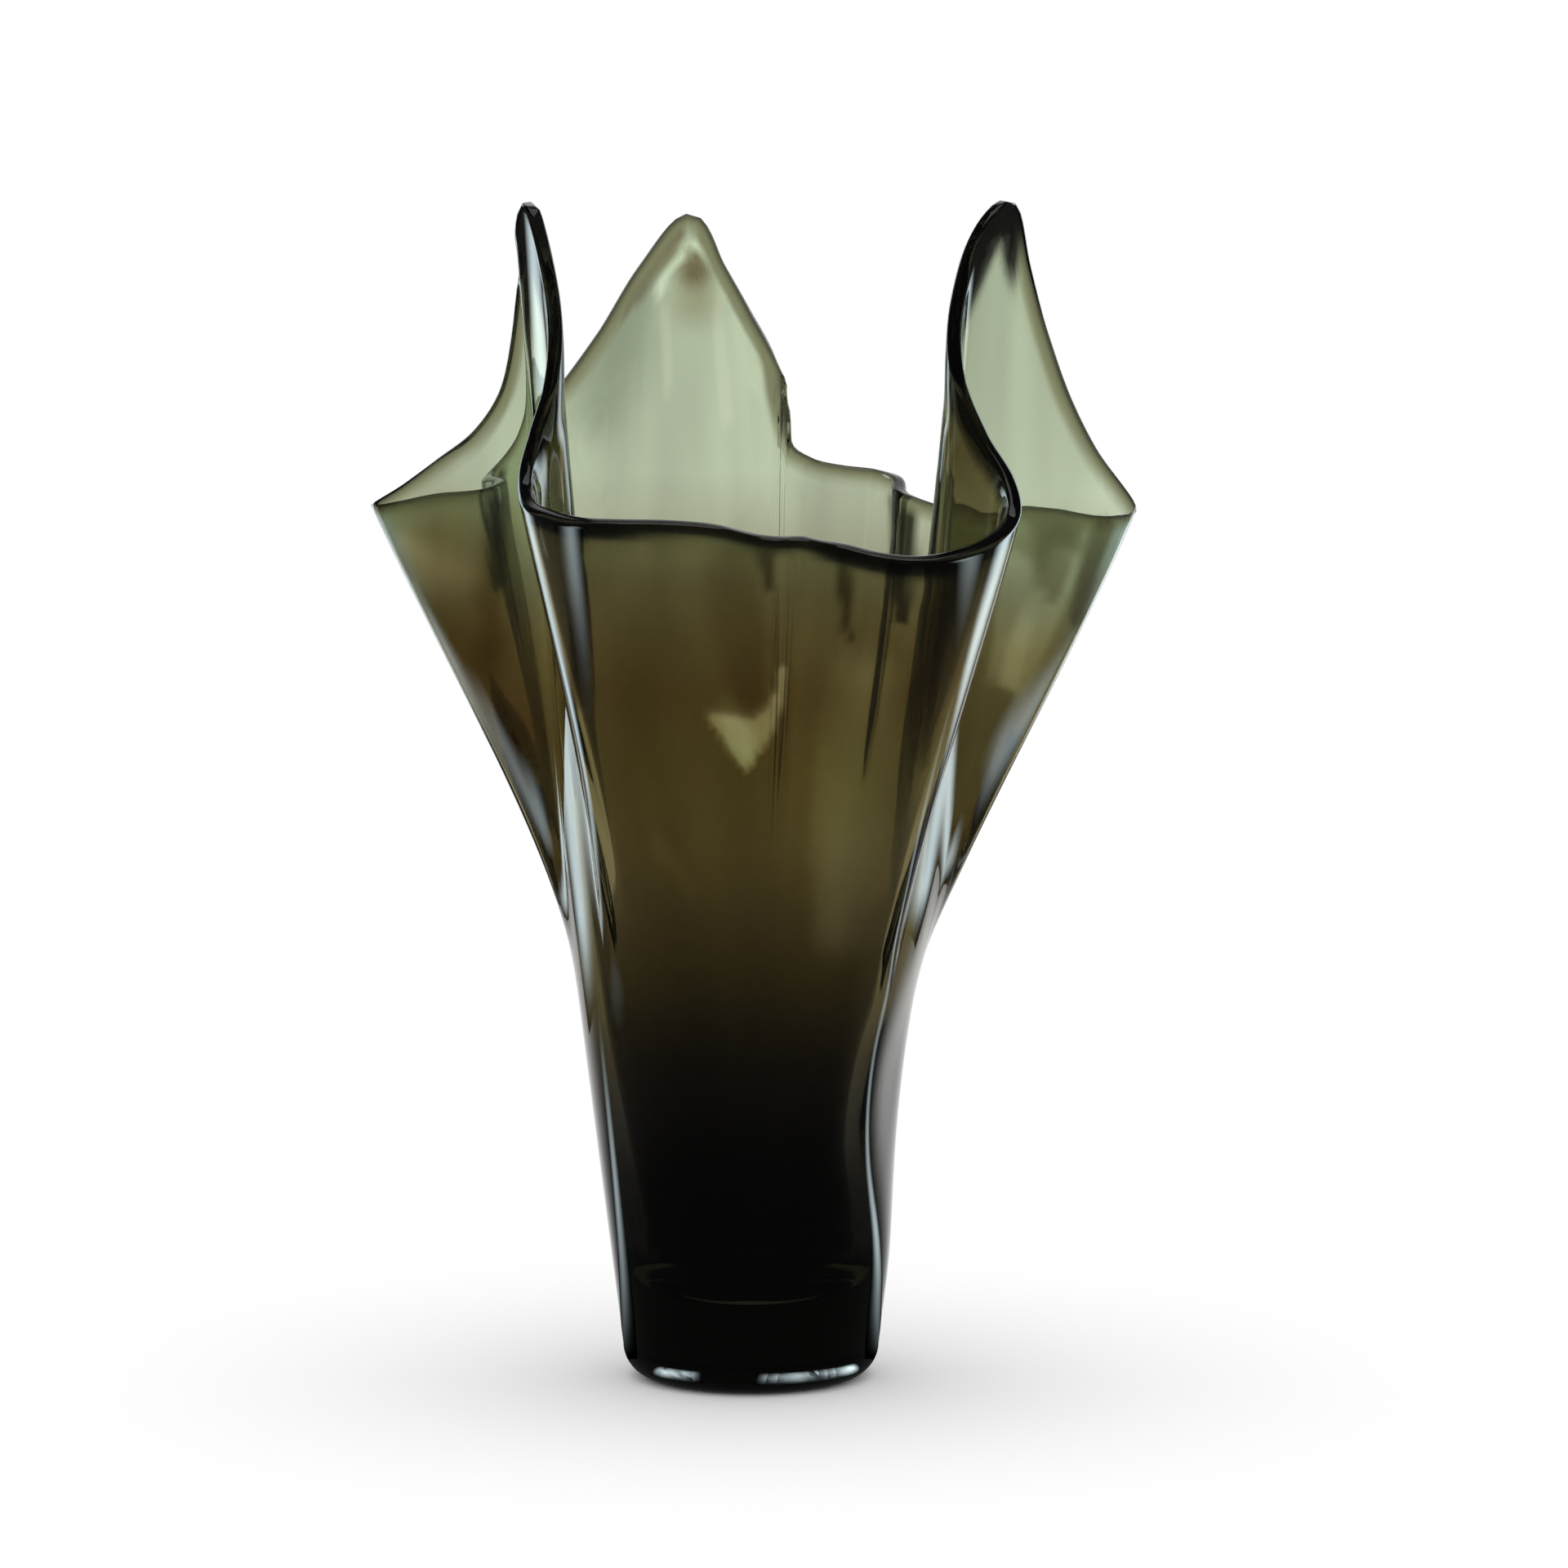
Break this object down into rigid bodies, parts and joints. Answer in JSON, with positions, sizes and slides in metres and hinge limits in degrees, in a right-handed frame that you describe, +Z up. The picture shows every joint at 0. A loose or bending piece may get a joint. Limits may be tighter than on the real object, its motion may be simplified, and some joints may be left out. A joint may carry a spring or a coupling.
{
  "type": "vase",
  "caption": "Free-standing glass vase: a round foot and tapered body that flares into a folded rim with tall peaks, deep creases and low side tips.",
  "frame": {"origin": "centre of the foot's flat underside", "axes": "+Z up through the body, +X to the right and +Y away as seen from the front, which has the wide low lip"},
  "size_m": [0.1913, 0.1511, 0.3003],
  "materials": {
    "smoked_glass": "gloss"
  },
  "bodies": {
    "root": {"vase": "smoked_glass"}
  },
  "joints": []
}
